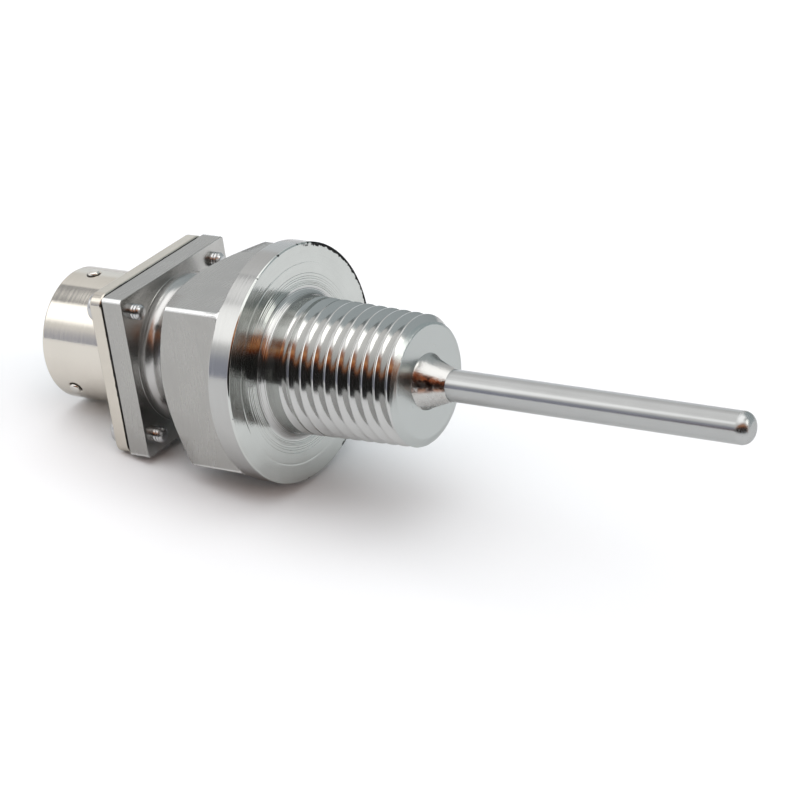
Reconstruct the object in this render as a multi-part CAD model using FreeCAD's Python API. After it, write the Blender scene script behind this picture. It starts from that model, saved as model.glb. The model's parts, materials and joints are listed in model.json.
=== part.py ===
import FreeCAD, Part
import math
import os

# Threaded temperature probe, in millimetres.
# Every piece is drawn about the probe's axis, X, which points to the tip, with x = 0 on the front
# face of the round flange. At the end the whole probe is laid down as it comes to rest.

# Fitting: one bar, turned and then milled square behind the flange
bar_d = 24.3
flange_t = 2.5
flange_edge = 0.1
square_af = 17.4
flat_corner_r = 0.5
wrench_len = 8.7
wrench_chamfer = 2.15
wrench_chamfer_deg = 30.0
neck_d = 13.2
neck_len = 3.4
neck_front_r = 0.6
neck_rear_r = 1.1
plate_t = 2.4
pocket_depth = 8.0

# Taper pipe thread, right-hand: a V groove in the cone over the crests. Its run-out is one turn long and
# starts at a place and an angle near the flange.
thread_d = 13.9
thread_len = 15.1
thread_taper = 1.0 / 16.0
thread_pitch = 25.4 / 18.0
thread_flank_deg = 30.0
thread_crest = 0.16
thread_root = 0.08
thread_run_out = 2.92
thread_run_out_angle = 270.0
thread_root_r = 0.8
nose_face_d = 11.2
nose_chamfer = 0.38

# Sheath and what is sealed in it
sheath_d = 3.175
sheath_wall = 0.4
sheath_reach = 35.1
sheath_tail = 1.2
sheath_clearance = 0.03
tip_wall = 0.8
tip_edge_r = 1.1
braze_d = 5.7
braze_len = 2.85
braze_hollow = 0.25
element_fill_gap = 0.2375
element_len = 12.0
element_gap = 0.8
insulator_clearance = 0.06
insulator_tail = 0.4
insulator_gap = 1.0
lead_d = 0.4
lead_clearance = 0.05
lead_offset = 0.55
lead_bend_r = 0.6
lead_straight = 0.5

# Connector
gasket_t = 0.2
gasket_inset = 0.2
gasket_clearance = 0.3
cflange_overhang = 0.1
cflange_t = 1.42
cflange_corner_r = 1.3
barrel_d = 13.7
barrel_len = 9.5
barrel_edge = 0.25
barrel_wall = 1.05
seat_ledge = 0.35
retainer_t = 0.6
retainer_w = 1.35
insert_t = 1.6
insert_clearance = 0.05
boss_clearance = 0.5
boss_len = 2.6
pocket_clearance = 0.4
keyway_depth = 0.45
keyway_len = 4.6
master_keyway_w = 1.8
keyway_w = 1.1
keyway_angles = [105.0, 140.0, 215.0, 265.0]
master_keyway_angle = 30.0

# Bayonet pins, pressed into the barrel
bayonet_count = 3
bayonet_first_angle = 90.0
bayonet_d = 1.25
bayonet_depth = 0.55
bayonet_proud = 0.3
bayonet_crown_r = 0.25
bayonet_from_rim = 2.9

# Contacts
contact_count = 4
contact_first_angle = 45.0
contact_circle_d = 4.8
contact_d = 1.0
contact_reach = 3.0
contact_shoulder = 1.0
contact_body_d = 1.5
cup_len = 2.0
cup_bore_d = 0.9
cup_bore_depth = 1.4

# Screws through the connector flange into the plate
screw_from_edge = 1.9
screw_d = 1.6
screw_clearance = 0.1
screw_proud = 1.0
screw_end_chamfer = 0.25
screw_head_d = 3.0
screw_head_h = 1.0
screw_head_edge_r = 0.35
screw_slot_w = 0.45
screw_slot_depth = 0.5

# How far a cutter runs past the face that it cuts
cut_over = 1.0

# Sizes that follow from the sizes above
groove_slope = math.tan(math.radians(thread_flank_deg))
groove_depth = (thread_pitch - thread_crest - thread_root) / (2.0 * groove_slope)
groove_over = thread_crest / 2.0
socket_d = barrel_d - 2.0 * barrel_wall
seat_d = socket_d + 2.0 * seat_ledge
retainer_bore_d = seat_d - 2.0 * retainer_w
boss_d = retainer_bore_d - 2.0 * boss_clearance
pocket_d = boss_d + 2.0 * pocket_clearance
gasket_hole_d = pocket_d + 2.0 * gasket_clearance
cflange_side = square_af + 2.0 * cflange_overhang
screw_pitch = square_af - 2.0 * screw_from_edge
sheath_bore_d = sheath_d - 2.0 * sheath_wall
element_d = sheath_bore_d - 2.0 * element_fill_gap

# Places along the axis, worked out in the same way
wrench_rear = -flange_t - wrench_len
plate_front = wrench_rear - neck_len
plate_rear = plate_front - plate_t
gasket_rear = plate_rear - gasket_t
cflange_rear = gasket_rear - cflange_t
barrel_rear = cflange_rear - barrel_len
retainer_rear = gasket_rear - retainer_t
insert_face = retainer_rear - insert_t
boss_end = retainer_rear + boss_len
contact_tip = insert_face - contact_reach
cup_end = boss_end + cup_len
pocket_floor = plate_rear + pocket_depth
sheath_start = pocket_floor - sheath_tail
sheath_tip = thread_len + sheath_reach
sheath_floor = sheath_tip - tip_wall
element_front = sheath_floor - element_gap
element_rear = element_front - element_len
insulator_start = sheath_start - insulator_tail
insulator_end = element_rear - insulator_gap
bayonet_x = barrel_rear + bayonet_from_rim

AXIS = FreeCAD.Vector(1.0, 0.0, 0.0)
ORIGIN = FreeCAD.Vector(0.0, 0.0, 0.0)


def point(x, radius):
    """A point of a profile, drawn in the X-Z half plane above the axis."""
    return FreeCAD.Vector(x, 0.0, radius)


def line(start, end):
    """A straight edge of a profile."""
    return Part.LineSegment(point(*start), point(*end)).toShape()


def arc(start, end, centre):
    """The shorter arc between two points of a profile, about a centre."""
    middle = point((start[0] + end[0]) / 2.0, (start[1] + end[1]) / 2.0)
    hub = point(*centre)
    outward = middle.sub(hub)
    outward.normalize()
    outward.multiply(point(*start).distanceToPoint(hub))
    return Part.Arc(point(*start), hub.add(outward), point(*end)).toShape()


def polyline(points):
    """The straight edges that join a run of points."""
    return [line(start, end) for start, end in zip(points, points[1:])]


def revolve(edges):
    """A turned solid from the closed profile that the edges make."""
    face = Part.Face(Part.Wire(edges))
    return face.revolve(ORIGIN, AXIS, 360.0)


def rod(x_start, x_end, diameter):
    """A round bar on the axis between two places."""
    start = FreeCAD.Vector(min(x_start, x_end), 0.0, 0.0)
    return Part.makeCylinder(diameter / 2.0, abs(x_end - x_start), start, AXIS)


def tube(x_start, x_end, outer_d, inner_d):
    """A round bar with a round bore."""
    bore = rod(min(x_start, x_end) - cut_over, max(x_start, x_end) + cut_over, inner_d)
    return rod(x_start, x_end, outer_d).cut(bore)


def turned(shape, angle):
    """A copy of a shape, turned about the axis. Angle 0 faces +Y and angle 90 faces +Z."""
    copy = shape.copy()
    copy.rotate(ORIGIN, AXIS, angle - 90.0)
    return copy


def around(shape, count, first_angle):
    """Copies of a shape drawn at angle 90, evenly spaced about the axis."""
    return [turned(shape, first_angle + 360.0 * i / count) for i in range(count)]


def screw_places():
    """The four corners of the screw pattern."""
    half = screw_pitch / 2.0
    return [(y, z) for y in (-half, half) for z in (-half, half)]


def at_screws(shape):
    """A shape drawn on the axis, copied to each screw."""
    copies = []
    for y, z in screw_places():
        copy = shape.copy()
        copy.translate(FreeCAD.Vector(0.0, y, z))
        copies.append(copy)
    return copies


def square_slab(x_start, x_end, side, corner_r):
    """A square plate across the axis with rounded corners."""
    half = side / 2.0
    slab = Part.makeBox(x_end - x_start, side, side, FreeCAD.Vector(x_start, -half, -half))
    corners = [edge for edge in slab.Edges if abs(edge.tangentAt(edge.FirstParameter).x) > 0.5]
    return slab.makeFillet(corner_r, corners)


def thread_radius(x):
    """Radius over the thread's crests at a place along the axis."""
    return thread_d / 2.0 - thread_taper / 2.0 * x


def groove_path(start_x, turns):
    """The groove's path at angle 90: turns down the cone towards the flange, then one that lifts out."""
    cone_deg = math.degrees(math.atan(thread_taper / 2.0))
    lift_deg = math.degrees(math.atan((groove_depth + groove_over) / thread_pitch))
    length = turns * thread_pitch
    full = Part.makeLongHelix(thread_pitch, length, thread_radius(start_x), cone_deg)
    lift = Part.makeLongHelix(thread_pitch, thread_pitch, thread_radius(start_x - length), lift_deg)
    lift.translate(FreeCAD.Vector(0.0, 0.0, length))
    along_axis = FreeCAD.Rotation(FreeCAD.Vector(0.0, 1.0, 0.0), -90.0)
    place = FreeCAD.Placement(point(start_x, 0.0), along_axis).toMatrix()
    return Part.Wire(full.Edges + lift.Edges).transformed(place, copy=True)


def thread_groove():
    """The V groove in one sweep, from beyond the nose to the turn that runs out of the bar."""
    turns = math.ceil((thread_len - thread_run_out) / thread_pitch) + 1
    start_x = thread_run_out + turns * thread_pitch
    crest_r = thread_radius(start_x)
    mouth = (thread_pitch - thread_crest) / 2.0 + groove_over * groove_slope
    floor = thread_root / 2.0
    corners = [
        point(start_x - mouth, crest_r + groove_over),
        point(start_x - floor, crest_r - groove_depth),
        point(start_x + floor, crest_r - groove_depth),
        point(start_x + mouth, crest_r + groove_over),
    ]
    section = Part.makePolygon(corners + corners[:1])
    groove = groove_path(start_x, turns).makePipeShell([section], True, True)
    return turned(groove, thread_run_out_angle)


def flat_cutter():
    """What the end mill takes from one side: a flat that ends in a rounded corner at the flange."""
    half = square_af / 2.0
    top = bar_d / 2.0 + cut_over
    rear = plate_rear - cut_over
    corner = (-flange_t - flat_corner_r, half + flat_corner_r)
    foot = (corner[0], half)
    wall = (-flange_t, corner[1])
    edges = [line((rear, half), foot), arc(foot, wall, corner)]
    edges += polyline([wall, (-flange_t, top), (rear, top), (rear, half)])
    face = Part.Face(Part.Wire(edges))
    face.translate(FreeCAD.Vector(0.0, -top, 0.0))
    return face.extrude(FreeCAD.Vector(0.0, 2.0 * top, 0.0))


def process_fitting():
    """Thread, flange, wrench square, neck and plate in one bar, bored for the sheath and the leads."""
    bar_r = bar_d / 2.0
    neck_r = neck_d / 2.0
    pocket_r = pocket_d / 2.0
    bore_r = sheath_d / 2.0 + sheath_clearance
    nose_start = thread_len - nose_chamfer
    root_x = thread_root_r
    root = thread_radius(root_x)
    chamfer_drop = wrench_chamfer / math.tan(math.radians(wrench_chamfer_deg))
    edges = polyline([
        (thread_len, bore_r),
        (thread_len, nose_face_d / 2.0),
        (nose_start, thread_radius(nose_start)),
        (root_x, root),
    ])
    face_start = (0.0, root + thread_root_r)
    edges.append(arc((root_x, root), face_start, (root_x, root + thread_root_r)))
    neck_front = (wrench_rear, neck_r + neck_front_r)
    edges += polyline([
        face_start,
        (0.0, bar_r - flange_edge),
        (-flange_edge, bar_r),
        (wrench_rear + wrench_chamfer, bar_r),
        (wrench_rear, bar_r - chamfer_drop),
        neck_front,
    ])
    neck_start = (wrench_rear - neck_front_r, neck_r)
    neck_end = (plate_front + neck_rear_r, neck_r)
    plate_foot = (plate_front, neck_r + neck_rear_r)
    edges.append(arc(neck_front, neck_start, (neck_start[0], neck_front[1])))
    edges.append(line(neck_start, neck_end))
    edges.append(arc(neck_end, plate_foot, (neck_end[0], plate_foot[1])))
    edges += polyline([
        plate_foot,
        (plate_front, bar_r),
        (plate_rear, bar_r),
        (plate_rear, pocket_r),
        (pocket_floor, pocket_r),
        (pocket_floor, bore_r),
        (thread_len, bore_r),
    ])
    screw_hole = rod(plate_rear - cut_over, plate_front + cut_over, screw_d)
    milled = revolve(edges).cut(around(flat_cutter(), 4, 90.0) + at_screws(screw_hole))
    return milled.cut(thread_groove())


def probe_sheath():
    """Thin tube with its tip closed and rounded."""
    outer = sheath_d / 2.0
    inner = sheath_bore_d / 2.0
    shoulder = (sheath_tip - tip_edge_r, outer)
    nose = (sheath_tip, outer - tip_edge_r)
    edges = polyline([
        (sheath_floor, 0.0),
        (sheath_floor, inner),
        (sheath_start, inner),
        (sheath_start, outer),
        shoulder,
    ])
    edges.append(arc(shoulder, nose, (shoulder[0], nose[1])))
    edges += polyline([nose, (sheath_tip, 0.0), (sheath_floor, 0.0)])
    return revolve(edges)


def braze_fillet():
    """Hollow cone of braze between the fitting's nose and the sheath."""
    foot = (thread_len, braze_d / 2.0)
    toe = (thread_len + braze_len, sheath_d / 2.0)
    corner = (thread_len, sheath_d / 2.0)
    middle = point((foot[0] + toe[0]) / 2.0, (foot[1] + toe[1]) / 2.0)
    inward = point(*corner).sub(middle)
    inward.normalize()
    inward.multiply(braze_hollow)
    hollow = Part.Arc(point(*foot), middle.add(inward), point(*toe)).toShape()
    return revolve([line(corner, foot), hollow, line(toe, corner)])


def sensing_element():
    """Wound resistance element, a plain ceramic body from outside."""
    return rod(element_rear, element_front, element_d)


def tip_fill():
    """Powder that fills the sheath round the element, back to the element's rear face."""
    return rod(element_rear, sheath_floor, sheath_bore_d).cut(sensing_element())


def lead_path():
    """A lead's centre line at angle 90: out of its cup, in to the insulator, on to the element."""
    cup_r = contact_circle_d / 2.0
    start = point(cup_end - cup_bore_depth, cup_r)
    bend_out = point(cup_end + lead_straight, cup_r)
    bend_in = point(insulator_start - lead_straight, lead_offset)
    end = point(element_rear, lead_offset)
    slope = bend_in.sub(bend_out)
    slope.normalize()
    turn = slope.getAngle(AXIS)
    setback = lead_bend_r * math.tan(turn / 2.0)
    bulge = lead_bend_r * (1.0 / math.cos(turn / 2.0) - 1.0)
    edges = []
    last = start
    for corner, arrive, leave in ((bend_out, AXIS, slope), (bend_in, slope, AXIS)):
        before = corner.sub(FreeCAD.Vector(arrive).multiply(setback))
        after = corner.add(FreeCAD.Vector(leave).multiply(setback))
        side = FreeCAD.Vector(leave).sub(arrive)
        side.normalize()
        edges.append(Part.LineSegment(last, before).toShape())
        edges.append(Part.Arc(before, corner.add(side.multiply(bulge)), after).toShape())
        last = after
    edges.append(Part.LineSegment(last, end).toShape())
    return Part.Wire(edges)


def lead_wire():
    """One lead at angle 90."""
    path = lead_path()
    start = path.Vertexes[0].Point
    ring = Part.Wire(Part.makeCircle(lead_d / 2.0, start, AXIS))
    return path.makePipeShell([ring], True, True)


def insulator_tube(leads):
    """Ceramic tube with one bore for each lead."""
    body = rod(insulator_start, insulator_end, sheath_bore_d - 2.0 * insulator_clearance)
    bore = rod(insulator_start - cut_over, insulator_end + cut_over, lead_d + 2.0 * lead_clearance)
    bore.translate(FreeCAD.Vector(0.0, 0.0, lead_offset))
    return body.cut(around(bore, leads, contact_first_angle))


def contact_pin():
    """One contact at angle 90: a round-nosed pin, a stouter body and a bored solder cup."""
    nose_r = contact_d / 2.0
    body_r = contact_body_d / 2.0
    step = insert_face + contact_shoulder
    bore_r = cup_bore_d / 2.0
    edges = [arc((contact_tip, 0.0), (contact_tip + nose_r, nose_r), (contact_tip + nose_r, 0.0))]
    edges += polyline([
        (contact_tip + nose_r, nose_r),
        (step, nose_r),
        (step, body_r),
        (cup_end, body_r),
        (cup_end, bore_r),
        (cup_end - cup_bore_depth, bore_r),
        (cup_end - cup_bore_depth, 0.0),
        (contact_tip, 0.0),
    ])
    pin = revolve(edges)
    pin.translate(FreeCAD.Vector(0.0, 0.0, contact_circle_d / 2.0))
    return pin


def contact_insert():
    """Moulded disc and rear boss, with a stepped hole for each contact."""
    disc = rod(insert_face, retainer_rear, seat_d - 2.0 * insert_clearance)
    body = disc.fuse(rod(retainer_rear, boss_end, boss_d))
    step = insert_face + contact_shoulder
    hole = rod(insert_face - cut_over, step, contact_d)
    hole = hole.fuse(rod(step, boss_end + cut_over, contact_body_d))
    hole.translate(FreeCAD.Vector(0.0, 0.0, contact_circle_d / 2.0))
    return body.cut(around(hole, contact_count, contact_first_angle)).removeSplitter()


def potting_plug(leads):
    """Resin in the fitting's pocket, round the cups, the leads, the insulator and the sheath."""
    resin = rod(boss_end, pocket_floor, pocket_d)
    cup = rod(boss_end - cut_over, cup_end, contact_body_d)
    cup.translate(FreeCAD.Vector(0.0, 0.0, contact_circle_d / 2.0))
    held = around(cup, contact_count, contact_first_angle) + leads
    held.append(rod(sheath_start, pocket_floor + cut_over, sheath_d))
    held.append(rod(insulator_start, sheath_start, sheath_bore_d - 2.0 * insulator_clearance))
    return resin.cut(held)


def flange_gasket():
    """Thin square gasket, set in a little from the plate's edges."""
    side = square_af - 2.0 * gasket_inset
    slab = square_slab(gasket_rear, plate_rear, side, cflange_corner_r)
    bore = rod(gasket_rear - cut_over, plate_rear + cut_over, gasket_hole_d)
    hole = rod(gasket_rear - cut_over, plate_rear + cut_over, screw_d + 2.0 * screw_clearance)
    return slab.cut([bore] + at_screws(hole))


def keyway(width):
    """One keyway cutter at angle 90, open at the barrel's rim."""
    reach = socket_d / 2.0 + keyway_depth
    corner = FreeCAD.Vector(barrel_rear - cut_over, -width / 2.0, 0.0)
    return Part.makeBox(keyway_len + cut_over, width, reach, corner)


def bayonet_hole():
    """Blind hole for one bayonet pin at angle 90."""
    floor = barrel_d / 2.0 - bayonet_depth
    start = FreeCAD.Vector(bayonet_x, 0.0, floor)
    return Part.makeCylinder(bayonet_d / 2.0, bayonet_depth + cut_over, start, FreeCAD.Vector(0, 0, 1))


def bayonet_pin():
    """One bayonet pin at angle 90, with a rounded crown."""
    floor = barrel_d / 2.0 - bayonet_depth
    start = FreeCAD.Vector(bayonet_x, 0.0, floor)
    height = bayonet_depth + bayonet_proud
    pin = Part.makeCylinder(bayonet_d / 2.0, height, start, FreeCAD.Vector(0, 0, 1))
    crown = [edge for edge in pin.Edges if edge.BoundBox.ZMin > floor + height / 2.0]
    return pin.makeFillet(bayonet_crown_r, crown)


def connector_shell():
    """Square flange and barrel, with the socket, the insert's seat and the keyways cut into it."""
    rim_r = barrel_d / 2.0
    socket_r = socket_d / 2.0
    seat_r = seat_d / 2.0
    barrel = revolve(polyline([
        (gasket_rear, seat_r),
        (gasket_rear, rim_r),
        (barrel_rear + barrel_edge, rim_r),
        (barrel_rear, rim_r - barrel_edge),
        (barrel_rear, socket_r),
        (insert_face, socket_r),
        (insert_face, seat_r),
        (gasket_rear, seat_r),
    ]))
    flange = square_slab(cflange_rear, gasket_rear, cflange_side, cflange_corner_r)
    flange = flange.cut(rod(cflange_rear - cut_over, gasket_rear + cut_over, seat_d))
    hole = rod(cflange_rear - cut_over, gasket_rear + cut_over, screw_d + 2.0 * screw_clearance)
    cutters = at_screws(hole)
    cutters.append(turned(keyway(master_keyway_w), master_keyway_angle))
    cutters += [turned(keyway(keyway_w), master_keyway_angle + angle) for angle in keyway_angles]
    cutters += around(bayonet_hole(), bayonet_count, bayonet_first_angle)
    return barrel.fuse(flange).cut(cutters).removeSplitter()


def insert_retaining_ring():
    """Flat ring that holds the insert against its shoulder in the shell."""
    return tube(retainer_rear, gasket_rear, seat_d, retainer_bore_d)


def flange_screw():
    """One pan-head screw on the axis, with its head against the connector flange."""
    end = plate_front + screw_proud
    shank_r = screw_d / 2.0
    head_r = screw_head_d / 2.0
    head_top = cflange_rear - screw_head_h
    crown = (head_top + screw_head_edge_r, head_r)
    edge = (head_top, head_r - screw_head_edge_r)
    edges = [line((head_top, 0.0), edge), arc(edge, crown, (crown[0], edge[1]))]
    edges += polyline([
        crown,
        (cflange_rear, head_r),
        (cflange_rear, shank_r),
        (end - screw_end_chamfer, shank_r),
        (end, shank_r - screw_end_chamfer),
        (end, 0.0),
        (head_top, 0.0),
    ])
    slot_corner = FreeCAD.Vector(head_top - cut_over, -screw_slot_w / 2.0, -screw_head_d)
    slot = Part.makeBox(cut_over + screw_slot_depth, screw_slot_w, 2.0 * screw_head_d, slot_corner)
    return revolve(edges).cut(slot)


def rest_slope():
    """Slope of the floor under the probe when it lies on its round flange and the connector end."""
    bar_r = bar_d / 2.0
    behind = [
        (plate_rear, square_af / 2.0),
        (cflange_rear, cflange_side / 2.0),
        (barrel_rear + barrel_edge, barrel_d / 2.0),
    ]
    return min((bar_r - reach) / (-flange_t - x) for x, reach in behind)


def resting_place(shapes):
    """Where the probe lies: tilted to rest, with the floor at z = 0 and the origin under the middle."""
    turn = FreeCAD.Rotation(FreeCAD.Vector(0.0, 1.0, 0.0), -math.degrees(math.atan(rest_slope())))
    tilt = FreeCAD.Placement(ORIGIN, turn).toMatrix()
    tilted = Part.makeCompound([shape.transformed(tilt, copy=True) for shape in shapes])
    box = tilted.optimalBoundingBox(False, False)
    return FreeCAD.Placement(FreeCAD.Vector(-box.Center.x, -box.Center.y, -box.ZMin), turn)


leads = around(lead_wire(), contact_count, contact_first_angle)
contacts = around(contact_pin(), contact_count, contact_first_angle)
bayonets = around(bayonet_pin(), bayonet_count, bayonet_first_angle)

pieces = {
    "process_fitting": process_fitting(),
    "probe_sheath": probe_sheath(),
    "braze_fillet": braze_fillet(),
    "sensing_element": sensing_element(),
    "tip_fill": tip_fill(),
    "insulator_tube": insulator_tube(contact_count),
    "potting_plug": potting_plug(leads),
    "flange_gasket": flange_gasket(),
    "connector_shell": connector_shell(),
    "insert_retaining_ring": insert_retaining_ring(),
    "contact_insert": contact_insert(),
    "flange_screws": Part.makeCompound(at_screws(flange_screw())),
}
for number, lead in enumerate(leads, start=1):
    pieces["lead_wire_%d" % number] = lead
for number, contact in enumerate(contacts, start=1):
    pieces["contact_pin_%d" % number] = contact
for number, pin in enumerate(bayonets, start=1):
    pieces["bayonet_pin_%d" % number] = pin

rest = resting_place(pieces.values()).toMatrix()
os.makedirs("parts", exist_ok=True)
for name, shape in pieces.items():
    shape.transformed(rest, copy=True).exportStep("parts/%s.step" % name)
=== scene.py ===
"""Looks of a threaded temperature probe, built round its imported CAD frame.

Surfaces are worked out in the probe's own axis frame, in millimetres: X runs along the axis to the tip,
x = 0 is the front face of the round flange, angle 0 faces +Y and angle 90 faces +Z. AxisPose lays the
points down in the row frame, in metres. A profile runs from the front bore out over the front face, back
along the outside and in again at the rear, so that its faces point outwards.
"""

import json
import logging
import math
from dataclasses import dataclass, field
from enum import Enum
from typing import Any, Callable, Optional, Sequence, Union

import bpy
import numpy as np
from mathutils import Matrix, Vector


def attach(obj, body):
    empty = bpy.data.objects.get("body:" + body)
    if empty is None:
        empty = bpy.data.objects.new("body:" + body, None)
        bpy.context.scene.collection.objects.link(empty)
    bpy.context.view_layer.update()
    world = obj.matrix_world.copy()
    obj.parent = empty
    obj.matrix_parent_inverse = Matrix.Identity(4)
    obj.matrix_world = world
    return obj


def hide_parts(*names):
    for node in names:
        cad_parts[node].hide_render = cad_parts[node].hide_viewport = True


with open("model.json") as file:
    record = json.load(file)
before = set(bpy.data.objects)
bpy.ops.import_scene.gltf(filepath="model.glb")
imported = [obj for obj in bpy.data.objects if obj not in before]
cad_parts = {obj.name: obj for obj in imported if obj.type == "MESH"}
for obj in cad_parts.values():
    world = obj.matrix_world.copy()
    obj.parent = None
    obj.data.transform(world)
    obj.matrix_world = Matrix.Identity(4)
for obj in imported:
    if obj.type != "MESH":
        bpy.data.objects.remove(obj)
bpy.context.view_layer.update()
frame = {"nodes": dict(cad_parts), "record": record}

Array = np.ndarray
Number = Union[float, Array]
Station = tuple[Number, Number]
Zone = tuple["Finish", Sequence[Station]]
Colour = tuple[float, float, float]

MM = 0.001
WELD_MM = 2e-5
WELD_PHASE = 0.37
SHARP_DEG = 32.0
BODY = "root"
log = logging.getLogger("probe")


@dataclass(frozen=True)
class AxisPose:
    """Where the probe's axis frame lies in the row frame."""

    origin: tuple[float, float, float]
    tilt: float

    @classmethod
    def from_record(cls, record: dict[str, Any], thread_len: float) -> "AxisPose":
        """Reads the pose from the thread's mount, which sits half way along the thread.

        Args:
            record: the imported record.
            thread_len: length of the thread in millimetres.

        Returns:
            The pose of the axis frame.
        """
        mount = next(m for m in record["mounts"] if m["name"] == "process_thread")
        tip = np.array(mount["axis"], float)
        tip /= np.linalg.norm(tip)
        origin = np.array(mount["pos_m"], float) - tip * thread_len * MM / 2.0
        return cls(tuple(origin), math.atan2(tip[2], tip[0]))

    def place(self, points: Array) -> Array:
        """Turns axis-frame millimetres into row-frame metres: origin + x ex + y ey + z ez."""
        c, s = math.cos(self.tilt), math.sin(self.tilt)
        return np.array(self.origin) + MM * (points @ np.array([[c, 0.0, s], [0.0, 1.0, 0.0], [-s, 0.0, c]]))


def smoothstep(low: float, high: float, value: Number) -> Array:
    """Rises from 0 at low to 1 at high as 3t^2 - 2t^3."""
    t = np.clip((np.asarray(value, float) - low) / (high - low), 0.0, 1.0)
    return t * t * (3.0 - 2.0 * t)


def lobe(theta: Array, degrees: float) -> Array:
    """Rises from 0 to 1 towards a direction as (1 + cos(t - a)) / 2."""
    return 0.5 + 0.5 * np.cos(theta - math.radians(degrees))


def angle_from(theta: Array, degrees: float) -> Array:
    """Angle from a direction, between -pi and pi."""
    return np.mod(theta - math.radians(degrees) + math.pi, 2 * math.pi) - math.pi


def ring(count: int, extra: Sequence[float] = ()) -> Array:
    """Column angles round an axis.

    Args:
        count: how many evenly spaced angles.
        extra: more angles, in degrees, for edges and fine detail.

    Returns:
        Sorted angles in radians.
    """
    even = np.arange(count) * 360.0 / count
    every = np.concatenate([even, np.mod(np.asarray(extra, float), 360.0)])
    return np.radians(np.unique(np.round(every, 4)))


def polar(x: Number, r: Number, theta: Array) -> Array:
    """Points (x, r cos t, r sin t) of a surface that is star-shaped about the axis."""
    x, r, theta = np.broadcast_arrays(x, r, theta)
    return np.stack([x, r * np.cos(theta), r * np.sin(theta)], axis=-1)


def arc(centre: Station, radius: Number, start: float, end: float, count: int = 8) -> list[Station]:
    """Stations on a circle about centre, from one angle to another: (cx + R cos a, cr + R sin a).

    Args:
        centre: (x, r) of the circle's centre.
        radius: its radius, or one for each station.
        start: first angle in degrees, 0 towards the tip and 90 outwards.
        end: last angle in degrees.
        count: how many stations.

    Returns:
        The stations (x, r).
    """
    a = np.radians(np.linspace(start, end, count))
    return list(zip(centre[0] + radius * np.cos(a), centre[1] + radius * np.sin(a)))


def along(start: Station, end: Station, count: int) -> list[Station]:
    """Stations on the straight line from start to end, both included."""
    shares = np.linspace(0, 1, count)
    return [(start[0] + (end[0] - start[0]) * t, start[1] + (end[1] - start[1]) * t) for t in shares]


def square_radius(theta: Array, half: Number, corner: Number = 0.0) -> Array:
    """Polar radius of a square with rounded corners.

    A side lies at half / cos d, d being the angle from its normal. A corner is a circle of the given
    radius about a point on the diagonal, so r = m cos a + sqrt(c^2 - m^2 sin^2 a) with a measured from
    the diagonal and m = sqrt(2) (half - c).

    Args:
        theta: angles about the axis.
        half: half the square's side.
        corner: radius of its corners.

    Returns:
        The radius at each angle.
    """
    d = np.mod(theta + math.pi / 4, math.pi / 2) - math.pi / 4
    side = half / np.cos(d)
    a = math.pi / 4 - np.abs(d)
    m = math.sqrt(2.0) * (half - corner)
    inside = np.clip(np.square(corner) - np.square(m * np.sin(a)), 0.0, None)
    bend = m * np.cos(a) + np.sqrt(inside)
    on_side = half * np.tan(np.abs(d)) <= half - corner
    return np.where(on_side, side, np.minimum(side, bend))


def ripple(theta: Array, seed: int, waves: int, roll_off: float = 0.8) -> Array:
    """Smooth random wave round the axis: a sum of cos(k t + p_k) / k^roll_off, scaled to peaks of 1.

    Args:
        theta: angles about the axis.
        seed: seed of the phases.
        waves: highest number of waves in a turn.
        roll_off: how fast short waves fade.

    Returns:
        The wave at each angle.
    """
    phase = np.random.default_rng(seed).uniform(0.0, 2.0 * math.pi, waves)
    k = np.arange(1, waves + 1)
    wave = (np.cos(np.multiply.outer(theta, k) + phase) / k**roll_off).sum(-1)
    return wave / np.abs(wave).max()


def turned(points: Array, degrees: float) -> Array:
    """Points drawn at angle 90, turned about the axis to another angle."""
    c, s = math.cos(math.radians(degrees - 90.0)), math.sin(math.radians(degrees - 90.0))
    return points @ np.array([[1.0, 0.0, 0.0], [0.0, c, s], [0.0, -s, c]])


@dataclass
class Patch:
    """A grid of points in one finish, with rows along a profile and columns round it."""

    points: Array
    finish: "Finish"
    seam_shift: int = 0

    def faces(self) -> Array:
        """Quads of the grid.

        The last column joins the first one, moved up by seam_shift rows where the rows climb a helix.

        Returns:
            An array of four point numbers for each face.
        """
        rows, columns = self.points.shape[:2]
        number = np.arange(rows * columns).reshape(rows, columns)
        inner = [number[:-1, :-1], number[1:, :-1], number[1:, 1:], number[:-1, 1:]]
        first, last = number[: rows - self.seam_shift, 0], number[self.seam_shift:, -1]
        seam = [last[:-1], last[1:], first[1:], first[:-1]]
        return np.vstack([np.stack([a.ravel() for a in four], axis=-1) for four in (inner, seam)])


def lathe(theta: Array, stations: Sequence[Station], finish: "Finish") -> Patch:
    """A patch through stations (x, r), each a number or an array over the columns."""
    x, r = (np.vstack([np.broadcast_to(s[part], theta.shape) for s in stations]) for part in (0, 1))
    return Patch(polar(x, r, theta), finish)


def lathe_zones(theta: Array, zones: Sequence[Zone]) -> list[Patch]:
    """Patches of one profile that changes its finish.

    Args:
        theta: column angles.
        zones: (finish, stations) in order. Each zone starts where the last one ended.

    Returns:
        One patch for each zone.
    """
    patches, last = [], []
    for finish, stations in zones:
        patches.append(lathe(theta, [*last, *stations], finish))
        last = [stations[-1]]
    return patches


def operator(operation: str, swapped: bool = False) -> Callable[["Wire", "Value"], "Wire"]:
    """Makes an operator of Wire.

    Args:
        operation: the Math node's operation.
        swapped: whether the wire stands to the right of the sign.

    Returns:
        The method.
    """

    def method(self: "Wire", value: "Value") -> "Wire":
        """Adds the Math node."""
        return self.graph.maths(operation, *((value, self) if swapped else (self, value)))

    return method


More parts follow.
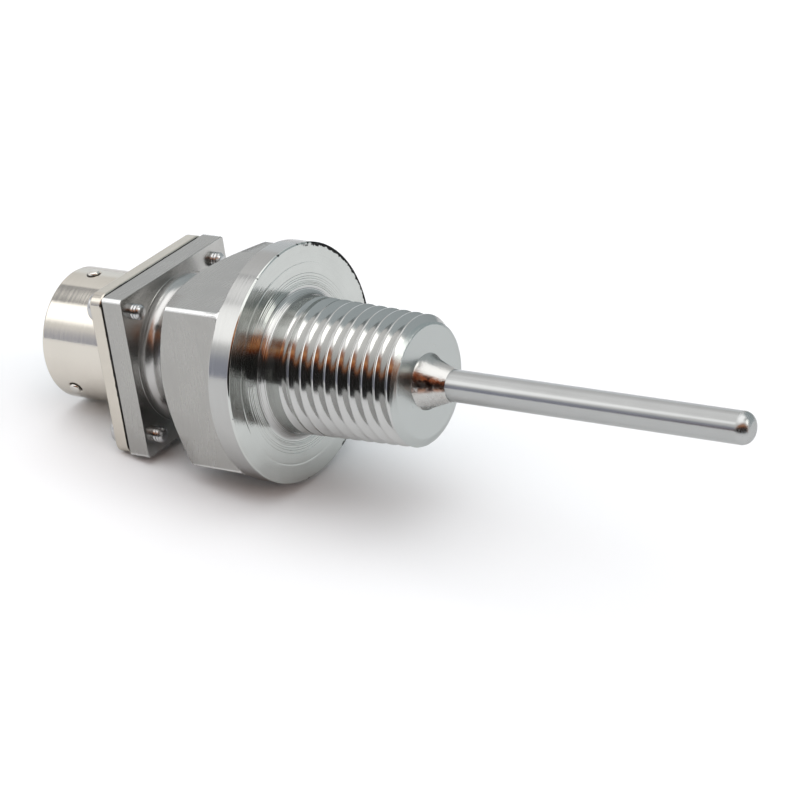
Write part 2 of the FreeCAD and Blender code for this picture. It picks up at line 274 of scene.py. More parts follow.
class Wire:
    """A socket that takes part in Python arithmetic by adding Math nodes."""

    __add__, __radd__ = operator("ADD"), operator("ADD", swapped=True)
    __sub__, __rsub__ = operator("SUBTRACT"), operator("SUBTRACT", swapped=True)
    __mul__, __rmul__ = operator("MULTIPLY"), operator("MULTIPLY", swapped=True)
    __truediv__, __rtruediv__ = operator("DIVIDE"), operator("DIVIDE", swapped=True)

    def __init__(self, graph: "Graph", socket: bpy.types.NodeSocket) -> None:
        """Wraps one output socket of a graph."""
        self.graph = graph
        self.socket = socket

    def other(self, name: str) -> "Wire":
        """Another output of the same node."""
        return Wire(self.graph, self.socket.node.outputs[name])


Value = Union[Wire, float]


class Graph:
    """A node tree written as Python expressions."""

    def __init__(self, tree: bpy.types.NodeTree) -> None:
        """Empties the tree and takes it over."""
        self.tree = tree
        tree.nodes.clear()

    def node(
        self,
        kind: str,
        settings: Optional[dict[str, Any]] = None,
        sockets: Optional[dict[str, Any]] = None,
        out: Optional[str] = None,
    ) -> Optional[Wire]:
        """Adds a node.

        Args:
            kind: the node's type.
            settings: its settings, set first.
            sockets: values or wires for its inputs, by identifier or name.
            out: name of the output to return, the first one if left out.

        Returns:
            The output, or None for a node without outputs.
        """
        made = self.tree.nodes.new(kind)
        for key, value in (settings or {}).items():
            setattr(made, key, value)
        for key, value in (sockets or {}).items():
            socket = next((s for s in made.inputs if s.identifier == key), None) or made.inputs[key]
            if isinstance(value, Wire):
                self.tree.links.new(value.socket, socket)
            else:
                socket.default_value = value
        if not made.outputs:
            return None
        return Wire(self, made.outputs[out] if out else made.outputs[0])

    def maths(self, operation: str, first: Value, second: Value = 0.0) -> Wire:
        """A Math node."""
        return self.node("ShaderNodeMath", {"operation": operation}, {"Value": first, "Value_001": second})

    def rise(self, value: Value, low: float, high: float, to_low: float = 0.0, to_high: float = 1.0) -> Wire:
        """Smooth step from to_low to to_high while value goes from low to high."""
        ends = {"Value": value, "From Min": low, "From Max": high, "To Min": to_low, "To Max": to_high}
        return self.node("ShaderNodeMapRange", {"interpolation_type": "SMOOTHSTEP"}, ends)

    def vector(self, x: Value, y: Value, z: Value) -> Wire:
        """A vector from three values."""
        return self.node("ShaderNodeCombineXYZ", None, {"X": x, "Y": y, "Z": z})

    def noise(self, place: Wire, scale: float, detail: float = 2.0, roughness: float = 0.5) -> Wire:
        """Noise between 0 and 1 at a place."""
        sockets = {"Vector": place, "Scale": scale, "Detail": detail, "Roughness": roughness}
        return self.node("ShaderNodeTexNoise", {"noise_dimensions": "3D"}, sockets, "Fac")

    def blend(self, share: Value, first: Any, second: Any) -> Wire:
        """Colour that goes from first to second as share goes from 0 to 1.

        Args:
            share: how much of the second colour there is.
            first: a colour, or a wire that carries one.
            second: the same.

        Returns:
            The colour.
        """
        a, b = (c if isinstance(c, Wire) else (*c, 1.0) for c in (first, second))
        sockets = {"Factor_Float": share, "A_Color": a, "B_Color": b}
        return self.node("ShaderNodeMix", {"data_type": "RGBA"}, sockets, "Result")


@dataclass(frozen=True)
class Spot:
    """The shaded place, in the axis frame and in millimetres."""

    graph: Graph
    x: Wire
    y: Wire
    z: Wire

    @classmethod
    def on_part(cls, g: Graph, pose: AxisPose) -> "Spot":
        """Brings object coordinates into the axis frame.

        Args:
            g: the material's graph.
            pose: the axis frame.

        Returns:
            The place.
        """
        sockets = {
            "Vector": g.node("ShaderNodeTexCoord", None, None, "Object"),
            "Location": pose.origin,
            "Rotation": (0.0, -pose.tilt, 0.0),
            "Scale": (MM, MM, MM),
        }
        place = g.node("ShaderNodeMapping", {"vector_type": "TEXTURE"}, sockets)
        x = g.node("ShaderNodeSeparateXYZ", None, {"Vector": place})
        return cls(g, x, x.other("Y"), x.other("Z"))

    @property
    def vector(self) -> Wire:
        """x, y and z in one."""
        return self.graph.vector(self.x, self.y, self.z)

    @property
    def radius(self) -> Wire:
        """Distance from the axis."""
        return self.graph.maths("SQRT", self.y * self.y + self.z * self.z)


class Lay(Enum):
    """Which way the fine marks of a finish run, and how far the noise is squeezed that way to stretch them."""

    TURNED = ("rings about the axis", 0.12)
    MILLED = ("shallow arcs across a flat", 0.04)
    DRAWN = ("streaks along the axis", 0.03)
    PLAIN = ("the same in every direction", 1.0)

    def place(self, spot: Spot, arc_mm: float = 40.0) -> Wire:
        """Coordinates in which the marks are short one way and long the other.

        Args:
            spot: the shaded place.
            arc_mm: how far behind the flange face the cutter's arcs are centred.

        Returns:
            The place to read the noise at.
        """
        g, x, y, z = spot.graph, spot.x, spot.y, spot.z
        squeeze = self.value[1]
        if self is Lay.TURNED:
            return g.vector(x, spot.radius, g.maths("ARCTAN2", z, y) * squeeze)
        if self is Lay.MILLED:
            reach = g.maths("SQRT", (x + arc_mm) * (x + arc_mm) + y * y * 0.5 + z * z * 0.5)
            return g.vector(reach, y * squeeze, z * squeeze)
        return g.vector(x * squeeze, y, z) if self is Lay.DRAWN else spot.vector


@dataclass(frozen=True)
class Finish:
    """One surface finish: its colour, gloss and the marks left by how it was made."""

    name: str
    colour: Colour
    roughness: float
    metallic: float = 1.0
    lay: Lay = Lay.PLAIN
    pitch: float = 0.15
    depth: float = 0.001
    tone: float = 0.06
    patchy: float = 0.05
    stain: Colour = (0.30, 0.27, 0.24)
    stained: float = 0.0
    edge_tint: float = 0.7
    cloud_scale: float = 0.35
    speck_scale: float = 2.6
    speck_height: float = 0.35

    def material(self, pose: AxisPose) -> bpy.types.Material:
        """Makes the material.

        Marks are noise that is stretched along the lay. They drive the bump and part of the roughness,
        and slow noise makes the tone and the roughness uneven.

        Args:
            pose: the axis frame, in which the lay runs.

        Returns:
            The material.
        """
        made = bpy.data.materials.new(self.name)
        made.use_nodes = True
        g = Graph(made.node_tree)
        spot = Spot.on_part(g, pose)
        marks = g.noise(self.lay.place(spot), 1.0 / self.pitch, 3.0, 0.6)
        cloud = g.noise(spot.vector, self.cloud_scale, 3.0, 0.55)
        speck = g.noise(spot.vector, self.speck_scale, 2.0, 0.6)
        light = tuple(min(1.0, c * (1.0 + self.tone)) for c in self.colour)
        dark = tuple(c * (1.0 - self.tone) for c in self.colour)
        base = g.blend(marks * 0.4 + cloud * 0.6, dark, light)
        if self.stained > 0.0:
            base = g.blend(g.rise(cloud * 0.6 + speck * 0.4, 0.52, 0.72, 0.0, self.stained), base, self.stain)
        bump = {"Strength": 1.0, "Distance": self.depth * MM, "Height": marks + speck * self.speck_height}
        sockets = {
            "Base Color": self.overlay(spot, base),
            "Roughness": self.roughness + (cloud - 0.5) * self.patchy + (marks - 0.5) * self.patchy,
            "Metallic": self.metallic,
            "Specular Tint": (*[self.edge_tint] * 3, 1.0),
            "Normal": g.node("ShaderNodeBump", None, bump),
        }
        shader = g.node("ShaderNodeBsdfPrincipled", None, sockets)
        g.node("ShaderNodeOutputMaterial", None, {"Surface": shader})
        return made

    def overlay(self, spot: Spot, base: Wire) -> Wire:
        """Base colour with what one kind of finish has over it, nothing here."""
        return base


@dataclass(frozen=True)
class RimmedFinish(Finish):
    """A faced finish with a few nicks and, where y is positive, a ragged black line along the rim."""

    rim_r: float = 12.15
    line: float = 0.38
    line_from: tuple[float, float] = (3.6, 5.0)
    ragged: float = 0.9
    ragged_ends: float = 9.0
    nick_peak: tuple[float, float] = (0.66, 0.70)
    black: Colour = (0.012, 0.012, 0.012)

    def overlay(self, spot: Spot, base: Wire) -> Wire:
        """Adds the line, where radius plus noise comes near the rim, and nicks, where noise peaks there.

        Args:
            spot: the shaded place.
            base: the clean colour.

        Returns:
            The soiled colour.
        """
        g, radius, start = spot.graph, spot.radius, self.rim_r - self.line
        wander = g.noise(g.vector(spot.y, spot.z, 0.0), 1.1, 3.0, 0.65) - 0.5
        line = g.rise(radius + wander * self.ragged, start - 0.02, start + 0.03)
        line = line * g.rise(spot.y + wander * self.ragged_ends, *self.line_from)
        nick = g.rise(g.noise(g.vector(spot.y, spot.z, 4.0), 0.9, 2.0, 0.6), *self.nick_peak)
        nick = nick * g.rise(radius, self.rim_r - 0.3, self.rim_r - 0.1)
        return g.blend(g.maths("MAXIMUM", line, nick), base, self.black)


@dataclass(frozen=True)
class RidgedFinish(Finish):
    """A milled finish that leaves narrow ridges of the turned bar between the flats, painted lighter as a
    painted highlight along them.
    """

    ridge_r: float = 12.08
    # Colour of the painted highlight along the ridges.
    ridge_glint: Colour = (0.66, 0.66, 0.65)

    def overlay(self, spot: Spot, base: Wire) -> Wire:
        """Paints a highlight: lighter colour where the radius comes up to the bar's."""
        ridge = spot.graph.rise(spot.radius, self.ridge_r - 0.05, self.ridge_r)
        return spot.graph.blend(ridge, base, self.ridge_glint)


@dataclass(frozen=True)
class ReflectionBlotchFinish(Finish):
    """A braze finish with orange and black blotches on one side: a painted reflection of the dark and orange
    band, broken up with noise.
    """

    middle_deg: float = 158.0
    reach_deg: float = 26.0
    # Colours of the painted reflection of the dark and orange band.
    painted_orange: Colour = (0.30, 0.12, 0.05)
    black: Colour = (0.03, 0.025, 0.028)

    def overlay(self, spot: Spot, base: Wire) -> Wire:
        """Adds the blotches of painted reflection: noise past a threshold, within reach of the middle angle
        about the axis.

        Args:
            spot: the shaded place.
            base: the clean colour.

        Returns:
            The scorched colour.
        """
        g, middle = spot.graph, math.radians(self.middle_deg)
        facing = (spot.y * math.cos(middle) + spot.z * math.sin(middle)) / spot.radius
        outer, inner = (math.cos(math.radians(self.reach_deg * share)) for share in (1.0, 0.4))
        near = g.rise(facing, outer, inner)
        # Painted reflection: orange blotches, then black ones over them, near the middle angle.
        painted_orange = g.rise(g.noise(spot.vector, 1.0, 4.0, 0.65), 0.38, 0.60, 0.0, 0.85)
        black = g.rise(g.noise(spot.vector, 1.2, 5.0, 0.7), 0.46, 0.60, 0.0, 0.92)
        return g.blend(near * black, g.blend(near * painted_orange, base, self.painted_orange), self.black)


TURNED_STEEL = Finish(
    "turned_steel", (0.43, 0.43, 0.42), 0.14, lay=Lay.TURNED, pitch=0.18, depth=0.0035, tone=0.1
)
FACE_STEEL = RimmedFinish(
    "faced_steel", (0.54, 0.555, 0.535), 0.11, lay=Lay.TURNED, pitch=0.15, depth=0.008, tone=0.14, patchy=0.06
)
NOSE_STEEL = Finish(
    "nose_steel", (0.46, 0.48, 0.47), 0.25, lay=Lay.TURNED, pitch=0.3, depth=0.001, patchy=0.08
)
# Its ridges between the flats carry a painted highlight.
MILLED_STEEL = RidgedFinish(
    "milled_steel", (0.37, 0.365, 0.35), 0.27, lay=Lay.MILLED, pitch=0.30, depth=0.009, tone=0.16
)
DULL_STEEL = Finish("dull_steel", (0.45, 0.445, 0.43), 0.22, pitch=0.3, depth=0.002, tone=0.2)
NECK_STEEL = Finish(
    "neck_steel", (0.48, 0.475, 0.465), 0.26, lay=Lay.TURNED, pitch=0.2, depth=0.006, tone=0.14
)
THREAD_STEEL = Finish(
    "thread_steel", (0.50, 0.50, 0.49), 0.14, lay=Lay.TURNED, pitch=0.08, depth=0.0014, tone=0.1
)
SHEATH_STEEL = Finish(
    "sheath_steel", (0.405, 0.41, 0.405), 0.17,
    lay=Lay.DRAWN, pitch=0.14, depth=0.003, tone=0.09, edge_tint=0.85,
)
TIP_STEEL = Finish("tip_steel", (0.43, 0.435, 0.43), 0.27, pitch=0.2, depth=0.002)
# The braze's orange and black blotches are a painted reflection of the dark and orange band.
BRAZE = ReflectionBlotchFinish(
    "braze", (0.48, 0.475, 0.46), 0.25, pitch=0.34, depth=0.02, tone=0.14, patchy=0.14, stained=0.25
)
NICKEL = Finish("nickel_plate", (0.63, 0.595, 0.535), 0.11, lay=Lay.TURNED, pitch=0.34, depth=0.005)
NICKEL_FLANGE = Finish("nickel_flange", (0.57, 0.535, 0.475), 0.2, pitch=0.5, depth=0.004, tone=0.1)
SCREW_STEEL = Finish("screw_steel", (0.52, 0.52, 0.52), 0.22, pitch=0.12, depth=0.002, stained=0.3)
PIN_STEEL = Finish("pin_steel", (0.66, 0.64, 0.60), 0.16, pitch=0.1, depth=0.001)
# Painted shade: near-black on the pins' side walls, where they stand down in their moats.
PIN_WALL_SHADE = Finish("pin_wall_shade", (0.05, 0.045, 0.04), 0.6, 0.0, pitch=0.1, depth=0.004, tone=0.3)
CONTACT_GOLD = Finish("contact_gold", (0.83, 0.62, 0.27), 0.20, pitch=0.1, depth=0.001)
GASKET_RUBBER = Finish("gasket_rubber", (0.012, 0.012, 0.013), 0.6, 0.0, pitch=0.1, depth=0.01, tone=0.3)
INSERT_MOULDING = Finish(
    "insert_moulding", (0.035, 0.037, 0.04), 0.45, 0.0, pitch=0.12, depth=0.006, tone=0.15
)
CERAMIC = Finish("ceramic", (0.86, 0.84, 0.78), 0.5, 0.0, pitch=0.08, depth=0.006)
POWDER = Finish("powder", (0.88, 0.87, 0.84), 0.9, 0.0, pitch=0.05, depth=0.02)
RESIN = Finish("resin", (0.10, 0.055, 0.03), 0.25, 0.0, pitch=0.6, depth=0.01)
LEAD_METAL = Finish("lead_metal", (0.68, 0.67, 0.64), 0.25, lay=Lay.DRAWN, pitch=0.05, depth=0.001)


class Bench:
    """Makes mesh objects from patches and keeps one material for each finish."""

    def __init__(self, pose: AxisPose) -> None:
        """Starts with no materials made."""
        self.pose = pose
        self._made: dict[Finish, bpy.types.Material] = {}

    def wear(self, mesh: bpy.types.Mesh, finishes: Sequence[Finish]) -> None:
        """Gives a mesh the materials of finishes, each made once, in place of its own.

        Args:
            mesh: the mesh.
            finishes: the finishes, in the order of its material slots.
        """
        mesh.materials.clear()
        for finish in finishes:
            if finish not in self._made:
                self._made[finish] = finish.material(self.pose)
            mesh.materials.append(self._made[finish])

    def make(self, name: str, patches: Sequence[Patch], slot: str, node: str) -> None:
        """Welds patches into one mesh object that rides on the probe in place of a CAD node.

        Points closer than the weld distance become one, so borders, seams and poles close. A quad that
        loses a point becomes a triangle, and one that loses more goes. The finish that has the slot's name
        is the mesh's first material.

        Args:
            name: the object's name.
            patches: its surfaces, in the axis frame.
            slot: the record's material slot.
            node: the CAD node that it stands for.
        """
        finishes = sorted(dict.fromkeys(p.finish for p in patches), key=lambda f: f.name != slot)
        quads = [p.faces() for p in patches]
        finish = np.concatenate([np.full(len(q), finishes.index(p.finish)) for q, p in zip(quads, patches)])
        points = np.vstack([p.points.reshape(-1, 3) for p in patches])
        start = np.cumsum([0] + [p.points.shape[0] * p.points.shape[1] for p in patches])
        keys = np.floor(points / WELD_MM + WELD_PHASE).astype(np.int64)
        _, kept, number = np.unique(keys, axis=0, return_index=True, return_inverse=True)
        faces = number.reshape(-1)[np.vstack([q + s for q, s in zip(quads, start)])]
        same = faces == np.roll(faces, -1, axis=1)
        crossed = (faces[:, 0] == faces[:, 2]) | (faces[:, 1] == faces[:, 3])
        whole = (same.sum(1) == 0) & ~crossed
        short = (same.sum(1) == 1) & ~crossed
        stay = np.arange(4)[None, :] != same[short].argmax(1)[:, None]
        triangles = faces[short][stay].reshape(-1, 3)
        mesh = bpy.data.meshes.new(name)
        mesh.from_pydata(self.pose.place(points[kept]), [], faces[whole].tolist() + triangles.tolist())
        self.wear(mesh, finishes)
        index = np.concatenate([finish[whole], finish[short]]).astype(np.int32)
        mesh.polygons.foreach_set("material_index", index)
        mesh.shade_smooth()
        mesh.set_sharp_from_angle(angle=math.radians(SHARP_DEG))
        mesh.update()
        piece = bpy.data.objects.new(name, mesh)
        bpy.context.scene.collection.objects.link(piece)
        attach(piece, BODY)
        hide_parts(node)
        log.info("%s: %d triangles", name, 2 * int(whole.sum()) + int(short.sum()))

    def dress(self, node: str, finish: Finish) -> None:
        """Gives a carried-over CAD node the material of a finish."""
        self.wear(frame["nodes"][node].data, [finish])
        log.info("%s: CAD mesh kept", node)


@dataclass
class ThreadForm:
    """Right-hand taper pipe thread: a helical V groove in a cone, lifted out of the bar in its last turn."""

    crest_r: float = 6.95
    taper: float = 1.0 / 32.0
    length: float = 15.1
    pitch: float = 25.4 / 18.0
    crest_flat: float = 0.16
    root_flat: float = 0.08
    edge_soft: float = 0.022
    flank_deg: float = 35.5
    run_out_x: float = 2.92
    run_out_deg: float = 270.0
    root_x: float = 0.8
    nose_r: float = 5.6
    nose_chamfer: float = 0.38

    @property
    def slope(self) -> float:
        """Tangent of the flank angle."""
        return math.tan(math.radians(self.flank_deg))

    @property
    def full_depth(self) -> float:
        """Depth of the whole groove."""
        return (self.pitch - self.crest_flat - self.root_flat) / (2.0 * self.slope)

    @property
    def chamfer_x(self) -> float:
        """Place at which the nose chamfer starts."""
        return self.length - self.nose_chamfer

    def cone(self, x: Number) -> Number:
        """Radius over the crests: crest_r - taper x."""
        return self.crest_r - self.taper * x

    def first_groove(self, theta: Array) -> Array:
        """Middle of one turn of the groove: run_out_x + pitch (t - run_out) / 2 pi."""
        return self.run_out_x + self.pitch * (theta - math.radians(self.run_out_deg)) / (2.0 * math.pi)

    def lift(self, middle: Array) -> Array:
        """How far a groove has risen out of the bar: its depth and a little more in the run-out turn."""
        share = np.clip((self.run_out_x - middle) / self.pitch, 0.0, 1.0)
        return share * (self.full_depth + self.crest_flat / 2.0)

    def radius(self, x: Array, theta: Array) -> Array:
        """Radius of the thread's surface.

        It is the cone less a V of (mouth / 2 - v) / tan(flank), v being the distance from the groove's
        middle, that is no deeper than its root and lifted in the run-out, and stays under the nose chamfer.

        Args:
            x: places along the axis.
            theta: angles about the axis.

        Returns:
            The radius at each place and angle.
        """
        half = self.pitch / 2.0
        v = np.mod(x - self.first_groove(theta) + half, self.pitch) - half
        depth = (half - self.crest_flat / 2.0 - np.abs(v)) / self.slope
        groove = np.minimum(depth, self.full_depth) - self.lift(x - v)
        steep = (self.cone(self.chamfer_x) - self.nose_r) / self.nose_chamfer
        return np.minimum(self.cone(x) - np.maximum(groove, 0.0), self.nose_r + (self.length - x) * steep)

    def turns(self, theta: Array) -> Patch:
        """The thread from the nose chamfer back to the root fillet.

        Rows follow the groove's root, flanks and mouth, x = middle(t) + offset, and are held at both ends.

        Args:
            theta: column angles.

        Returns:
            The helical patch.
        """
        first = math.floor((self.root_x - self.run_out_x) / self.pitch) - 1
        last = math.ceil((self.length - self.run_out_x) / self.pitch) + 1
        turn = np.arange(last, first, -1)[:, None, None]
        middle = self.first_groove(theta)[None, None, :] + self.pitch * turn
        root, soft = self.root_flat / 2.0, self.edge_soft
        mouth = (self.pitch - self.crest_flat) / 2.0 - self.lift(middle) * self.slope
        mouth = np.maximum(mouth, root + 3.0 * soft)
        flank = [root + (mouth - root) * share for share in (0.75, 0.5, 0.25)]
        reach = [mouth + soft, mouth - soft, *flank, root + soft + 0.0 * mouth, root - soft + 0.0 * mouth]
        crest = np.full(mouth.shape, -self.pitch / 2.0)
        offsets = np.concatenate([*reach, 0.0 * mouth, *(-r for r in reach[::-1]), crest], axis=1)
        x = np.clip((middle + offsets).reshape(-1, len(theta)), self.root_x, self.chamfer_x)
        return Patch(polar(x, self.radius(x, theta), theta), THREAD_STEEL, offsets.shape[1])

    def nose(self, theta: Array, bore_r: float) -> Patch:
        """The flat nose face and the chamfer that the groove cuts through.

        Args:
            theta: column angles.
            bore_r: radius of the sheath's bore, from which the face runs outwards.

        Returns:
            The patch.
        """
        x = np.linspace(self.length, self.chamfer_x, 16)[:, None]
        r = self.radius(x, theta)
        face = np.stack([np.full(theta.shape, bore_r), r[0] - 0.1])
        x = np.concatenate([np.full(2, self.length), x[:, 0]])[:, None]
        return Patch(polar(x, np.vstack([face, r]), theta), NOSE_STEEL)


@dataclass
class Fitting:
    """Thread, flange, wrench square, neck and plate, turned and milled from one bar.

    Stations that stand a guard's width beside an edge keep the flat next to it flat under smooth shading.
    """

    bench: Bench
    thread: ThreadForm = field(default_factory=ThreadForm)
    bar_r: float = 12.15
    flange_t: float = 2.5
    flange_edge: float = 0.1
    half_flat: float = 8.7
    flat_corner_r: float = 0.5
    wrench_len: float = 8.7
    cone_len: float = 2.15
    cone_deg: float = 30.0
    neck_r: float = 6.6
    neck_len: float = 3.4
    neck_front_r: float = 0.6
    neck_rear_r: float = 1.1
    plate_t: float = 2.4
    pocket_r: float = 4.7
    pocket_depth: float = 8.0
    bore_r: float = 1.6175
    edge_break: float = 0.07
    face_step: float = 0.03
    face_step_rs: tuple[float, float] = (8.26, 8.30)
    step_marks: tuple[float, ...] = (7.86, 8.02, 8.14)
    face_marks: tuple[float, ...] = (8.52, 8.74, 9.05)
    mark_half: float = 0.03
    mark_depth: float = 0.022
    groove_rs: tuple[float, ...] = (10.10, 10.15, 10.22, 10.27)
    groove_depth: float = 0.015
    guard: float = 0.05
    tool_ridge: float = 0.012
    tool_waves: float = 28.0
    column_count: int = 240

    @property
    def wrench_rear(self) -> float:
        """Rear end of the wrench square."""
        return -self.flange_t - self.wrench_len

    @property
    def plate_front(self) -> float:
        """Front face of the plate."""
        return self.wrench_rear - self.neck_len

    @property
    def plate_rear(self) -> float:
        """Rear face of the plate."""
        return self.plate_front - self.plate_t

    def columns(self) -> Array:
        """Column angles, with close ones beside the four ridges that the mill leaves.

        Returns:
            Sorted angles in radians.
        """
        edge = 45.0 - math.degrees(math.acos(self.half_flat / self.bar_r))
        near = np.array([-1.6, -1.15, -edge - 0.12, -edge, 0.0, edge, edge + 0.12, 1.15, 1.6])
        return ring(self.column_count, (45.0 + 90.0 * np.arange(4)[:, None] + near).ravel())

    def flat_r(self, theta: Array, height: Number) -> Array:
        """Radius at which a plane at some height over the axis is met, but no more than the bar's."""
        return np.minimum(self.bar_r, square_radius(theta, height))

    def border(self, radius: Number) -> Number:
        """Place at which the chamfer cone has a radius."""
        drop = (self.bar_r - radius) * math.tan(math.radians(self.cone_deg))
        return self.wrench_rear + self.cone_len - drop

    def fillet_stations(self) -> list[Station]:
        """Root fillet between the thread and the flange, with tool ridges of d sin(28 a) across its bend.

        Returns:
            Stations (x, r).
        """
        root = self.thread.root_x
        a = np.radians(np.linspace(270.0, 180.0, 57))
        lift = self.tool_ridge * np.sin(a * self.tool_waves) * np.sin((a - math.pi) * 2.0)
        bend = arc((root, self.thread.cone(root) + root), root - self.face_step - lift, 270.0, 180.0, len(a))
        return [(root, self.thread.cone(root)), *bend]

    def mark(self, x: float, r: float) -> list[Station]:
        """A fine V that the tool has cut into a face at x."""
        return [(x, r - self.mark_half), (x - self.mark_depth, r), (x, r + self.mark_half)]

    def flange_stations(self) -> list[Station]:
        """Turned front face with its step, marks and groove, and the flange's front edge.

        Returns:
            Stations (x, r).
        """
        step, edge, deep = self.face_step, self.flange_edge, -self.groove_depth
        stations: list[Station] = [s for r in self.step_marks for s in self.mark(step, r)]
        stations += zip((step, 0.0), self.face_step_rs)
        stations += [s for r in self.face_marks for s in self.mark(0.0, r)]
        a, b, c, d = self.groove_rs
        stations += [(0.0, a - self.guard), (0.0, a), (deep, b), (deep, c), (0.0, d), (0.0, d + self.guard)]
        soft = edge + 0.04
        stations += [(0.0, self.bar_r - soft - self.guard), (0.0, self.bar_r - soft)]
        stations += [(-0.02, self.bar_r - edge + 0.01), (-edge + 0.01, self.bar_r - 0.02)]
        return stations + [(-soft, self.bar_r), (-soft - self.guard, self.bar_r)]

    def wall_stations(self, theta: Array) -> list[Station]:
        """Flange rim and its rear wall down to the flats, with a broken edge where there is a wall.

        Args:
            theta: column angles.

        Returns:
            Stations (x, r).
        """
        top = self.flat_r(theta, self.half_flat + self.flat_corner_r)
        edge = np.minimum(self.edge_break, (self.bar_r - top) / 3.0)
        rear = -self.flange_t
        return [
            (rear / 2.0, self.bar_r),
            (rear + edge + self.guard, self.bar_r),
            (rear + edge, self.bar_r),
            (rear + edge * 0.3, self.bar_r - edge * 0.3),
            (rear, self.bar_r - edge),
            (rear, np.minimum(top, self.bar_r - edge)),
        ]

    def flat_stations(self, theta: Array) -> list[Station]:
        """Rounded corner at the flange, then the flats back to the edge of the chamfer cone.

        Args:
            theta: column angles.

        Returns:
            Stations (x, r).
        """
        t = np.linspace(0.0, math.pi / 2.0, 7)[1:]
        corner = self.flat_corner_r
        xs = -self.flange_t - corner + corner * np.cos(t)
        hs = self.half_flat + corner - corner * np.sin(t)
        flat = self.flat_r(theta, self.half_flat)
        back = along((xs[-1], flat), (self.border(flat) + self.edge_break, flat), 5)
        return [(x, self.flat_r(theta, h)) for x, h in zip(xs, hs)] + back[1:]

    def rear_zones(self, flat: Array) -> list[Zone]:
        """Chamfer cone, neck with its two fillets, plate, pocket for the leads and bore for the sheath.

        Args:
            flat: radius of the square at each column.

        Returns:
            The zones, from the flats back and in again up to the nose.
        """
        rear, plate, back = self.wrench_rear, self.plate_front, self.plate_rear
        soft, guard = self.edge_break, self.edge_break + self.guard
        foot = self.bar_r - self.cone_len / math.tan(math.radians(self.cone_deg))
        below = flat - np.minimum(soft, (flat - foot) / 3.0)
        front_fillet = (rear - self.neck_front_r, self.neck_r + self.neck_front_r)
        rear_fillet = (plate + self.neck_rear_r, self.neck_r + self.neck_rear_r)
        neck = [
            *along((self.border(below), below), (rear + 0.03, foot + 0.05), 4),
            (rear, foot - 0.02),
            *arc(front_fillet, self.neck_front_r, 0.0, -90.0, 8),
            *along((front_fillet[0] - 0.1, self.neck_r), (rear_fillet[0] + 0.1, self.neck_r), 4),
            *arc(rear_fillet, self.neck_rear_r, 270.0, 186.0, 11),
        ]
        face = [(plate + 0.02, rear_fillet[1] + 0.02), (plate, rear_fillet[1] + 0.05)]
        face += [(plate, flat - guard), (plate, flat - soft), (plate - soft * 0.3, flat - soft * 0.3)]
        edge = along((plate - guard, flat), (back + guard, flat), 4)
        edge = [(plate - soft, flat), *edge, (back + soft, flat)]
        floor = back + self.pocket_depth
        inside = [(back, flat - soft), (back, self.pocket_r), (floor, self.pocket_r), (floor, self.bore_r)]
        inside += [(self.thread.length, self.bore_r)]
        return [(NECK_STEEL, neck), (DULL_STEEL, face), (MILLED_STEEL, edge), (TURNED_STEEL, inside)]

    def build(self) -> None:
        """Makes the fitting as one closed mesh in seven finishes."""
        theta = self.columns()
        zones = [
            (THREAD_STEEL, self.fillet_stations()),
            (FACE_STEEL, self.flange_stations()),
            (TURNED_STEEL, self.wall_stations(theta)),
            (MILLED_STEEL, self.flat_stations(theta)),
            *self.rear_zones(self.flat_r(theta, self.half_flat)),
        ]
        front = [self.thread.nose(theta, self.bore_r), self.thread.turns(theta)]
        self.bench.make("fitting", front + lathe_zones(theta, zones), "turned_steel", "process_fitting")


